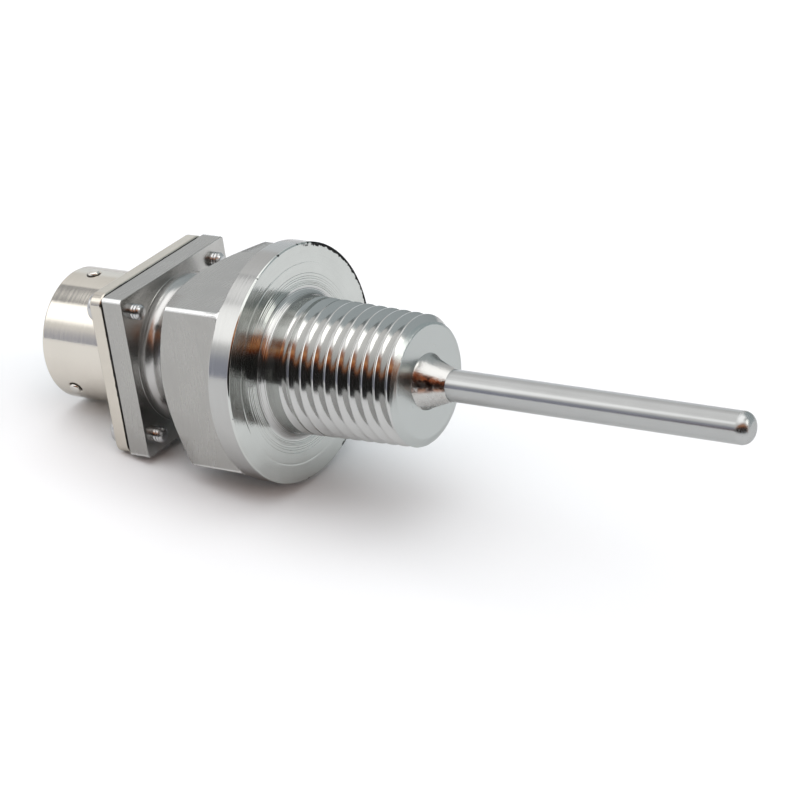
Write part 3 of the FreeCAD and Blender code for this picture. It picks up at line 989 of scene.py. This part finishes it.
@dataclass
class Sheath:
    """Slim tube with a closed, rounded tip, and the braze that holds it in the fitting."""

    bench: Bench
    radius: float = 1.5875
    bore_r: float = 1.1875
    start: float = -10.2
    tip: float = 50.2
    tip_wall: float = 0.8
    tip_edge_r: float = 1.1
    nose_x: float = 15.1
    braze_r: float = 2.85
    braze_share: float = 0.97
    braze_len: float = 2.85
    braze_flare: float = 0.65
    braze_power: float = 1.5
    bead_power: float = 0.4
    flare_deg: float = 165.0
    bead_deg: float = 235.0
    foot_wave: float = 0.02
    length_wave: float = 0.04
    lump: float = 0.05
    column_count: int = 128

    def tube(self) -> None:
        """Makes the tube: pole, rounded tip, outside, rear end, bore and bore floor."""
        shoulder = (self.tip - self.tip_edge_r, self.radius - self.tip_edge_r)
        end = [(self.tip, 0.0), *arc(shoulder, self.tip_edge_r, 0.0, 90.0, 16)]
        stations = along((shoulder[0] - 0.1, self.radius), (self.start, self.radius), 24)
        floor = self.tip - self.tip_wall
        stations += [(self.start, self.bore_r), (floor, self.bore_r), (floor, 0.0)]
        patches = lathe_zones(ring(self.column_count), [(TIP_STEEL, end), (SHEATH_STEEL, stations)])
        self.bench.make("sheath", patches, "sheath_steel", "probe_sheath")

    def braze(self) -> None:
        """Makes the braze as it froze: a hollow cone that feathers out over the nose and ends in a bead.

        With s going from 0 at the tube to 1 at the foot, its height over the nose is length (1 - s)^p. The
        power p is high where it feathers out and low at the bead below.
        """
        theta = ring(self.column_count)
        bead = np.square(lobe(theta, self.bead_deg))
        flare = self.braze_flare * np.square(lobe(theta, self.flare_deg)) * (1.0 - bead)
        foot = self.braze_r * (self.braze_share + self.foot_wave * ripple(theta, 12, 7)) + flare
        length = self.braze_len * (1.0 + self.length_wave * ripple(theta, 11, 5))
        s = np.linspace(0.0, 1.0, 30)[:, None]
        lump = self.lump * ripple(theta, 13, 6)[None, :] * np.square(np.sin(math.pi * s))
        power = self.braze_power - self.bead_power * bead
        x = self.nose_x + np.maximum(length * (1.0 - s) ** power + lump, 0.0)
        stations: list[Station] = list(zip(x, self.radius + (foot - self.radius) * s))
        stations += [(self.nose_x, self.radius), (x[0], self.radius)]
        self.bench.make("braze_joint", [lathe(theta, stations, BRAZE)], "braze", "braze_fillet")

    def build(self) -> None:
        """Makes the tube and its braze."""
        self.tube()
        self.braze()


@dataclass(frozen=True)
class Moat:
    """A fine round groove about a pin."""

    depth: float
    gap: float
    width: float

    def dip(self, distance: Array, radius: float) -> Array:
        """Its depth at a distance d from the pin's middle: depth exp(-((d - radius - gap) / width)^2)."""
        return self.depth * np.exp(-np.square((distance - radius - self.gap) / self.width))


@dataclass
class Connector:
    """Gasket, square flange and barrel with its socket, insert, contacts and bayonet pins."""

    bench: Bench
    front: float = -17.0
    gasket_t: float = 0.2
    gasket_half: float = 8.64
    gasket_hole_r: float = 5.0
    gasket_creep: tuple[float, float] = (0.16, 0.06)
    gasket_bulge: tuple[float, float] = (-0.05, 0.03)
    flange_t: float = 1.42
    flange_half: float = 8.8
    corner_r: float = 1.3
    flange_edge: float = 0.16
    flange_guard: float = 0.04
    barrel_r: float = 6.85
    barrel_len: float = 9.5
    barrel_edge: float = 0.25
    barrel_root_r: float = 0.2
    socket_r: float = 5.8
    socket_edge: float = 0.08
    seat_r: float = 6.15
    keyway_depth: float = 0.45
    keyway_len: float = 4.6
    keyway_soft_deg: float = 0.25
    keyways: tuple[tuple[float, float], ...] = (
        (30.0, 1.8), (135.0, 1.1), (170.0, 1.1), (245.0, 1.1), (295.0, 1.1)
    )
    pin_angles: tuple[float, ...] = (90.0, 210.0, 330.0)
    pin_r: float = 0.625
    pin_depth: float = 0.55
    pin_proud: float = 0.3
    pin_crown_r: float = 0.25
    pin_from_rim: float = 2.9
    pin_moat: Moat = Moat(0.22, 0.03, 0.08)
    insert_r: float = 6.1
    insert_t: float = 1.6
    insert_edge: float = 0.12
    retainer_t: float = 0.6
    boss_r: float = 4.3
    boss_len: float = 2.6
    contact_angles: tuple[float, ...] = (45.0, 135.0, 225.0, 315.0)
    contact_circle_r: float = 2.4
    contact_r: float = 0.5
    contact_reach: float = 3.0
    contact_shoulder: float = 1.0
    contact_body_r: float = 0.75
    contact_moat: Moat = Moat(0.12, 0.08, 0.09)
    cup_len: float = 2.0
    cup_bore_r: float = 0.45
    cup_bore_depth: float = 1.4

    @property
    def flange_front(self) -> float:
        """Front face of the connector's flange."""
        return self.front - self.gasket_t

    @property
    def flange_rear(self) -> float:
        """Rear face of the connector's flange."""
        return self.flange_front - self.flange_t

    @property
    def rim(self) -> float:
        """Rear rim of the barrel."""
        return self.flange_rear - self.barrel_len

    @property
    def retainer_rear(self) -> float:
        """Front face of the insert's disc, against its retaining ring."""
        return self.flange_front - self.retainer_t

    @property
    def insert_face(self) -> float:
        """Face of the insert at the bottom of the socket."""
        return self.retainer_rear - self.insert_t

    def gasket(self) -> None:
        """Makes the gasket: a thin rounded square whose edge creeps in and out."""
        theta = ring(420)
        coarse, fine = self.gasket_creep
        creep = coarse * ripple(theta, 21, 70, 0.2) + fine * ripple(theta, 22, 9)
        edge = square_radius(theta, self.gasket_half, self.corner_r) + creep
        brim, belly = (edge + bulge for bulge in self.gasket_bulge)
        stations = [
            (self.front, self.gasket_hole_r),
            (self.front, brim),
            (self.front - self.gasket_t / 2.0, belly),
            (self.flange_front, brim),
            (self.flange_front, self.gasket_hole_r),
            (self.front, self.gasket_hole_r),
        ]
        self.bench.make("gasket", [lathe(theta, stations, GASKET_RUBBER)], "gasket_rubber", "flange_gasket")

    def shell_columns(self) -> Array:
        """Column angles of the shell, closer at its corners, keyways and bayonet pins.

        Returns:
            Sorted angles in radians.
        """
        corners = (45.0 + 90.0 * np.arange(4)[:, None] + np.linspace(-5.5, 5.5, 15)).ravel()
        pins = (np.array(self.pin_angles)[:, None] + np.linspace(-9.0, 9.0, 49)).ravel()
        soft = self.keyway_soft_deg
        halves = [(a, self.keyway_half(w)) for a, w in self.keyways]
        edges = [a + s * (half + e) for a, half in halves for s in (-1, 1) for e in (-soft, soft)]
        return ring(180, np.concatenate([corners, pins, edges]))

    def keyway_half(self, width: float) -> float:
        """Half the angle that a keyway takes up, in degrees."""
        return math.degrees(math.asin(width / 2.0 / (self.socket_r + self.keyway_depth / 2.0)))

    def socket_outline(self, theta: Array) -> Array:
        """Radius of the socket: the bore, and the keyways' floors between their edges.

        Args:
            theta: column angles.

        Returns:
            The radius at each column.
        """
        outline, soft = np.full(theta.shape, self.socket_r), self.keyway_soft_deg
        for angle, width in self.keyways:
            d, half = np.degrees(np.abs(angle_from(theta, angle))), self.keyway_half(width)
            outline += self.keyway_depth * (1.0 - smoothstep(half - soft, half + soft, d))
        return outline

    def flange_stations(self, theta: Array) -> list[Station]:
        """Flange with both edges rounded: offsets e (1 - sin b) back and e (1 - cos b) in, b from 90 to 0.

        Args:
            theta: column angles.

        Returns:
            Stations (x, r).
        """
        soft, guard = self.flange_edge, self.flange_edge + self.flange_guard
        bend = np.radians(np.linspace(90.0, 0.0, 5))
        inset, lead = soft * (1.0 - np.cos(bend)), soft * (1.0 - np.sin(bend))
        outline = [square_radius(theta, self.flange_half - i, self.corner_r - i) for i in inset]
        return [
            (self.flange_front, self.seat_r),
            *((self.flange_front - a, o) for a, o in zip(lead, outline)),
            (self.flange_front - guard, outline[-1]),
            (self.flange_rear + guard, outline[-1]),
            *((self.flange_rear + a, o) for a, o in zip(lead[::-1], outline[::-1])),
            (self.flange_rear, self.barrel_r + self.barrel_root_r),
        ]

    def barrel_stations(self, theta: Array) -> list[Station]:
        """Barrel with its root fillet and a fine dished moat round each bayonet pin.

        Args:
            theta: column angles.

        Returns:
            Stations (x, r).
        """
        root, pin_x = self.barrel_root_r, self.rim + self.pin_from_rim
        near = np.linspace(pin_x + 1.0, pin_x - 1.0, 41)
        x = np.concatenate([np.linspace(self.flange_rear - root, near[0] + 0.1, 8), near, [self.rim + 0.9]])
        r = np.full((len(x), len(theta)), self.barrel_r)
        for angle in self.pin_angles:
            d = np.hypot((x - pin_x)[:, None], self.barrel_r * angle_from(theta, angle)[None, :])
            r -= self.pin_moat.dip(d, self.pin_r)
        fillet = arc((self.flange_rear - root, self.barrel_r + root), root, 0.0, -90.0, 4)
        return [*fillet[1:-1], *zip(x, r)]

    def socket_stations(self, theta: Array) -> list[Station]:
        """Rim of the barrel, socket with keyways, and the insert's seat.

        Args:
            theta: column angles.

        Returns:
            Stations (x, r).
        """
        edge, rim, key_end = self.barrel_edge, self.rim, self.rim + self.keyway_len
        socket = self.socket_outline(theta)
        return [
            (rim + edge + 0.12, self.barrel_r),
            (rim + edge + 0.05, self.barrel_r),
            (rim + edge - 0.02, self.barrel_r - 0.03),
            (rim + 0.03, self.barrel_r - edge + 0.02),
            (rim, self.barrel_r - edge - 0.04),
            (rim, socket + self.socket_edge),
            (rim + self.socket_edge, socket),
            (key_end, socket),
            (key_end, self.socket_r),
            (self.insert_face, self.socket_r),
            (self.insert_face, self.seat_r),
            (self.flange_front, self.seat_r),
        ]

    def shell(self) -> None:
        """Makes the shell: flange, barrel, rim, socket with keyways, and the insert's seat."""
        theta = self.shell_columns()
        barrel = self.barrel_stations(theta) + self.socket_stations(theta)
        patches = lathe_zones(theta, [(NICKEL_FLANGE, self.flange_stations(theta)), (NICKEL, barrel)])
        self.bench.make("connector_body", patches, "nickel_plate", "connector_shell")

    def pins(self) -> None:
        """Makes the bayonet pins: short studs with a rounded crown, drawn about their own axis, whose side
        walls carry painted shade.
        """
        top, foot, crown = self.barrel_r + self.pin_proud, self.barrel_r - self.pin_depth, self.pin_crown_r
        bend = arc((top - crown, self.pin_r - crown), crown, 0.0, 90.0, 7)
        dome = [(top + 0.03, 0.0), (top + 0.02, 0.2), *bend]
        # The side wall, down in the moat, is painted near-black as painted shade.
        wall = [(foot, self.pin_r), (foot, 0.0)]
        zones = lathe_zones(ring(40), [(PIN_STEEL, dome), (PIN_WALL_SHADE, wall)])
        shift = np.array([self.rim + self.pin_from_rim, 0.0, 0.0])
        for number, angle in enumerate(self.pin_angles, start=1):
            patches = [Patch(turned(p.points[..., [1, 2, 0]] + shift, angle), p.finish) for p in zones]
            self.bench.make(f"bayonet_stud_{number}", patches, "pin_steel", f"bayonet_pin_{number}")

    def insert(self) -> None:
        """Makes the moulded insert, whose face has a fine moat round each contact."""
        theta = ring(120)
        boss_end = self.retainer_rear + self.boss_len
        radii = np.concatenate([[self.insert_r - self.insert_edge], np.linspace(5.4, 0.6, 56), [0.0]])
        flat = polar(0.0, radii[:, None], theta)
        dip = np.zeros(flat.shape[:2])
        for angle in np.radians(self.contact_angles):
            centre = self.contact_circle_r * np.array([math.cos(angle), math.sin(angle)])
            dip += self.contact_moat.dip(np.linalg.norm(flat[..., 1:] - centre, axis=-1), self.contact_r)
        stations = [
            (boss_end, 0.0),
            (boss_end, self.boss_r),
            (self.retainer_rear, self.boss_r),
            (self.retainer_rear, self.insert_r),
            (self.insert_face + self.insert_edge, self.insert_r),
            *zip(self.insert_face + dip, radii),
        ]
        patches = [lathe(theta, stations, INSERT_MOULDING)]
        self.bench.make("contact_block", patches, "insert_moulding", "contact_insert")

    def contacts(self) -> None:
        """Makes the contacts: a bored cup, a stouter body and a round-nosed pin, each about its own axis."""
        cup_end = self.retainer_rear + self.boss_len + self.cup_len
        floor = cup_end - self.cup_bore_depth
        step = self.insert_face + self.contact_shoulder
        nose = self.insert_face - self.contact_reach + self.contact_r
        stations = [(floor, 0.0), (floor, self.cup_bore_r), (cup_end, self.cup_bore_r)]
        stations += [(cup_end, self.contact_body_r), (step, self.contact_body_r), (step, self.contact_r)]
        stations += arc((nose, 0.0), self.contact_r, 90.0, 180.0, 9)
        upright = lathe(ring(40), stations, CONTACT_GOLD)
        local = upright.points + np.array([0.0, 0.0, self.contact_circle_r])
        for number, angle in enumerate(self.contact_angles, start=1):
            patches = [Patch(turned(local, angle), upright.finish)]
            self.bench.make(f"contact_{number}", patches, "contact_gold", f"contact_pin_{number}")

    def build(self) -> None:
        """Makes every piece of the connector."""
        for piece in (self.gasket, self.shell, self.pins, self.insert, self.contacts):
            piece()


@dataclass
class FlangeScrews:
    """Four slotted pan-head screws, whose threaded ends stand out in front of the plate."""

    bench: Bench
    half_pitch: float = 6.8
    seat: float = -18.62
    end: float = -13.6
    shank_r: float = 0.8
    end_chamfer: float = 0.25
    thread_len: float = 1.4
    thread_pitch: float = 0.35
    thread_depth: float = 0.10
    head_r: float = 1.5
    head_h: float = 1.0
    head_edge_r: float = 0.35
    slot_w: float = 0.45
    slot_depth: float = 0.5

    def shank(self) -> Patch:
        """Threaded shank: r = shank_r - depth (1 - cos(2 pi (x / pitch - t))) / 2, with a chamfered end.

        Returns:
            The patch, on the probe's axis.
        """
        theta = ring(48)
        x = np.linspace(self.end - self.end_chamfer, self.end - self.thread_len, 40)
        turn = x[:, None] / self.thread_pitch - theta[None, :] / (2.0 * math.pi)
        fade = smoothstep(self.end - 0.1, self.end - 0.4, x)[:, None]
        r = self.shank_r - self.thread_depth * fade * (0.5 - 0.5 * np.cos(2.0 * math.pi * turn))
        chamfer_r = self.shank_r - self.end_chamfer
        stations = [(self.end, 0.0), (self.end, chamfer_r - 0.05), (self.end - 0.03, chamfer_r + 0.02)]
        stations += [*zip(x, r), (self.seat, self.shank_r), (self.seat, 0.0)]
        return lathe(theta, stations, SCREW_STEEL)

    def head(self) -> Patch:
        """Slotted head, carried across the slot in slices.

        A slice at y is a strip of half width c = sqrt(R^2 - y^2). Its top lies at the head's height less
        the rounding of the edge, e - sqrt(e^2 - (r - R + e)^2), and inside the slot at the slot's floor.

        Returns:
            Slices as rows, with the strip's outline round each slice.
        """
        half, radius, soft = self.slot_w / 2.0, self.head_r, self.head_edge_r
        side = np.concatenate([[half], radius * np.sin(np.linspace(0.2, math.pi / 2.0, 22))])
        inner = np.linspace(-half, half, 5)
        y = np.concatenate([-side[::-1], inner, side])
        cut = np.concatenate([np.zeros(len(side)), np.ones(len(inner)), np.zeros(len(side))])[:, None]
        chord = np.sqrt(np.clip(radius**2 - y**2, 0.0, None))[:, None]
        z = chord * np.sin(np.linspace(math.pi / 2.0, -math.pi / 2.0, 37))[None, :]
        over = np.clip(np.hypot(y[:, None], z) - radius + soft, 0.0, soft)
        top = self.seat - self.head_h + soft - np.sqrt(np.square(soft) - np.square(over))
        top = np.where(cut > 0.0, np.maximum(top, self.seat - self.head_h + self.slot_depth), top)
        foot = np.full((len(y), 1), self.seat)
        xs = np.concatenate([foot, top, foot], axis=1)
        zs = np.concatenate([chord, z, -chord], axis=1)
        ys = np.broadcast_to(y[:, None], xs.shape)
        return Patch(np.stack([xs, ys, zs], axis=-1), SCREW_STEEL)

    def build(self) -> None:
        """Makes the four screws as one piece."""
        half, screw = self.half_pitch, (self.shank(), self.head())
        shifts = [np.array([0.0, y, z]) for y in (-half, half) for z in (-half, half)]
        patches = [Patch(part.points + shift, part.finish) for shift in shifts for part in screw]
        self.bench.make("mounting_screws", patches, "screw_steel", "flange_screws")


@dataclass
class SealedCore:
    """What is sealed inside: carried-over CAD meshes that only get their finishes."""

    bench: Bench
    leads: int = 4

    def build(self) -> None:
        """Dresses the inner CAD nodes."""
        self.bench.dress("sensing_element", CERAMIC)
        self.bench.dress("insulator_tube", CERAMIC)
        self.bench.dress("tip_fill", POWDER)
        self.bench.dress("potting_plug", RESIN)
        self.bench.dress("insert_retaining_ring", NICKEL)
        for number in range(1, self.leads + 1):
            self.bench.dress(f"lead_wire_{number}", LEAD_METAL)


def heading(azimuth: float, elevation: float) -> Array:
    """Unit vector towards an azimuth, 0 being -Y and 90 being +X, and an elevation, in degrees."""
    a, e = math.radians(azimuth), math.radians(elevation)
    return np.array([math.sin(a) * math.cos(e), -math.cos(a) * math.cos(e), math.sin(e)])


class CardShape(Enum):
    """Outline of a card."""

    OBLONG = "straight sides"
    OVAL = "an ellipse"


@dataclass(frozen=True)
class Card:
    """A soft-edged card hung in the room, placed by azimuth and elevation in degrees."""

    azimuth: float
    elevation: float
    half_width: float
    half_height: float
    soft: float
    colour: Colour
    shape: CardShape = CardShape.OBLONG

    def cover(self, g: Graph, x: Wire, y: Wire, height: Wire) -> Wire:
        """How far the card covers a direction.

        With u and v the angles from its middle, an oblong is a soft step in |u| times one in |v|, and an
        oval is a soft step in sqrt((u / width)^2 + (v / height)^2).

        Args:
            g: the world's graph.
            x: first part of the direction.
            y: second part of the direction.
            height: elevation of the direction in degrees.

        Returns:
            1 on the card and 0 off it.
        """
        c, s = math.cos(math.radians(self.azimuth)), math.sin(math.radians(self.azimuth))
        u = g.maths("ARCTAN2", x * c + y * s, x * s - y * c) * math.degrees(1.0)
        v = height - self.elevation
        if self.shape is CardShape.OVAL:
            across, up = u / self.half_width, v / self.half_height
            share = self.soft / self.half_height
            return g.rise(g.maths("SQRT", across * across + up * up), 1.0 + share, 1.0 - share)
        sides = g.rise(g.maths("ABSOLUTE", u), self.half_width + self.soft, self.half_width - self.soft)
        ends = g.rise(g.maths("ABSOLUTE", v), self.half_height + self.soft, self.half_height - self.soft)
        return sides * ends


ROOM_CARDS = (
    Card(-82.0, 47.5, 26.0, 7.0, 4.0, (1.25, 1.25, 1.25)),
    Card(-88.0, 42.5, 20.0, 2.0, 1.2, (1.7, 1.7, 1.7)),
    Card(-57.5, 30.5, 17.0, 10.0, 3.5, (1.95, 1.95, 1.95)),
    Card(-93.0, 33.0, 17.0, 6.5, 1.5, (0.44, 0.45, 0.47)),
    Card(-31.0, 0.0, 13.0, 14.5, 6.0, (0.44, 0.46, 0.55)),
    Card(-143.0, 4.0, 9.0, 13.0, 3.0, (1.13, 1.18, 1.22)),
    Card(160.5, 20.0, 37.5, 38.0, 3.0, (0.54, 0.60, 0.62)),
    Card(108.0, 61.0, 26.0, 8.0, 3.0, (0.78, 0.78, 0.77)),
    Card(108.0, 36.5, 12.0, 14.0, 2.0, (3.0, 3.0, 2.9)),
    Card(126.5, 21.0, 13.0, 14.0, 2.0, (0.54, 0.60, 0.62)),
    Card(38.5, 0.0, 63.5, 58.0, 4.5, (0.45, 0.18, 0.09), CardShape.OVAL),
    Card(36.5, 0.0, 62.0, 44.5, 1.5, (0.90, 0.45, 0.20), CardShape.OVAL),
    Card(36.5, 0.0, 62.0, 40.5, 1.2, (0.40, 0.10, 0.025), CardShape.OVAL),
    Card(36.0, 0.0, 62.0, 34.0, 1.8, (0.02, 0.02, 0.02), CardShape.OVAL),
)


@dataclass
class Studio:
    """Pale floor, soft light from all round, and the camera."""

    floor_half: float = 0.2
    floor_colour: Colour = (0.94, 0.965, 0.99)
    wall_colour: Colour = (0.95, 0.95, 0.95)
    ceiling_colour: Colour = (2.05, 2.05, 2.05)
    ceiling_from: tuple[float, float] = (28.0, 78.0)
    shown_colour: Colour = (1.0, 1.0, 1.0)
    cards: tuple[Card, ...] = ROOM_CARDS
    azimuth: float = 31.4775
    elevation: float = 30.9622
    roll: float = -2.5715
    distance_mm: float = 298.0
    aim_mm: tuple[float, float, float] = (-0.738, 3.454, 9.847)
    lens_mm: float = 135.0
    sensor_mm: float = 36.0
    clip: tuple[float, float] = (0.01, 20.0)

    def camera(self) -> None:
        """Places the camera: it looks from an azimuth and elevation at the aim, rolled a little."""
        back = Vector(heading(self.azimuth, self.elevation))
        right = Vector((0.0, 0.0, 1.0)).cross(back).normalized()
        up = back.cross(right)
        c, s = math.cos(math.radians(self.roll)), math.sin(math.radians(self.roll))
        up, right = up * c + right * s, right * c - up * s
        data = bpy.data.cameras.new("camera")
        data.lens = self.lens_mm
        data.sensor_width = self.sensor_mm
        data.clip_start, data.clip_end = self.clip
        made = bpy.data.objects.new("camera", data)
        place = (Vector(self.aim_mm) + back * self.distance_mm) * MM
        made.matrix_world = Matrix.Translation(place) @ Matrix((right, up, back)).transposed().to_4x4()
        bpy.context.scene.collection.objects.link(made)
        bpy.context.scene.camera = made

    def floor(self) -> None:
        """Makes the floor: plain matt white."""
        h = self.floor_half
        mesh = bpy.data.meshes.new("floor")
        mesh.from_pydata([(-h, -h, 0.0), (h, -h, 0.0), (h, h, 0.0), (-h, h, 0.0)], [], [(0, 1, 2, 3)])
        made = bpy.data.materials.new("floor_white")
        made.use_nodes = True
        g = Graph(made.node_tree)
        matt = g.node("ShaderNodeBsdfDiffuse", None, {"Color": (*self.floor_colour, 1.0)})
        g.node("ShaderNodeOutputMaterial", None, {"Surface": matt})
        mesh.materials.append(made)
        piece = bpy.data.objects.new("floor", mesh)
        bpy.context.scene.collection.objects.link(piece)

    def surroundings(self) -> None:
        """Makes the world: a room that gets lighter upwards, hung with the cards, and white to the camera."""
        world = bpy.data.worlds.new("studio")
        bpy.context.scene.world = world
        world.use_nodes = True
        g = Graph(world.node_tree)
        way = g.node("ShaderNodeTexCoord", None, None, "Generated")
        x = g.node("ShaderNodeSeparateXYZ", None, {"Vector": way})
        y, z = x.other("Y"), x.other("Z")
        height = g.maths("ARCSINE", z) * math.degrees(1.0)
        room = g.blend(g.rise(height, *self.ceiling_from), self.wall_colour, self.ceiling_colour)
        for card in self.cards:
            room = g.blend(card.cover(g, x, y, height), room, card.colour)
        path = g.node("ShaderNodeLightPath", None, None, "Is Camera Ray")
        shown = g.blend(path, room, self.shown_colour)
        back = g.node("ShaderNodeBackground", None, {"Color": shown, "Strength": 1.0})
        g.node("ShaderNodeOutputWorld", None, {"Surface": back})

    def build(self) -> None:
        """Sets the stage and the view transform."""
        self.floor()
        self.surroundings()
        self.camera()
        bpy.context.scene.view_settings.view_transform = "Standard"


def main() -> None:
    """Builds every piece in order, then the studio."""
    logging.basicConfig(level=logging.INFO, format="%(name)s: %(message)s")
    bench = Bench(AxisPose.from_record(frame["record"], ThreadForm.length))
    for assembly in (Fitting, Sheath, Connector, FlangeScrews, SealedCore):
        assembly(bench).build()
    Studio().build()


if __name__ == "__main__":
    main()
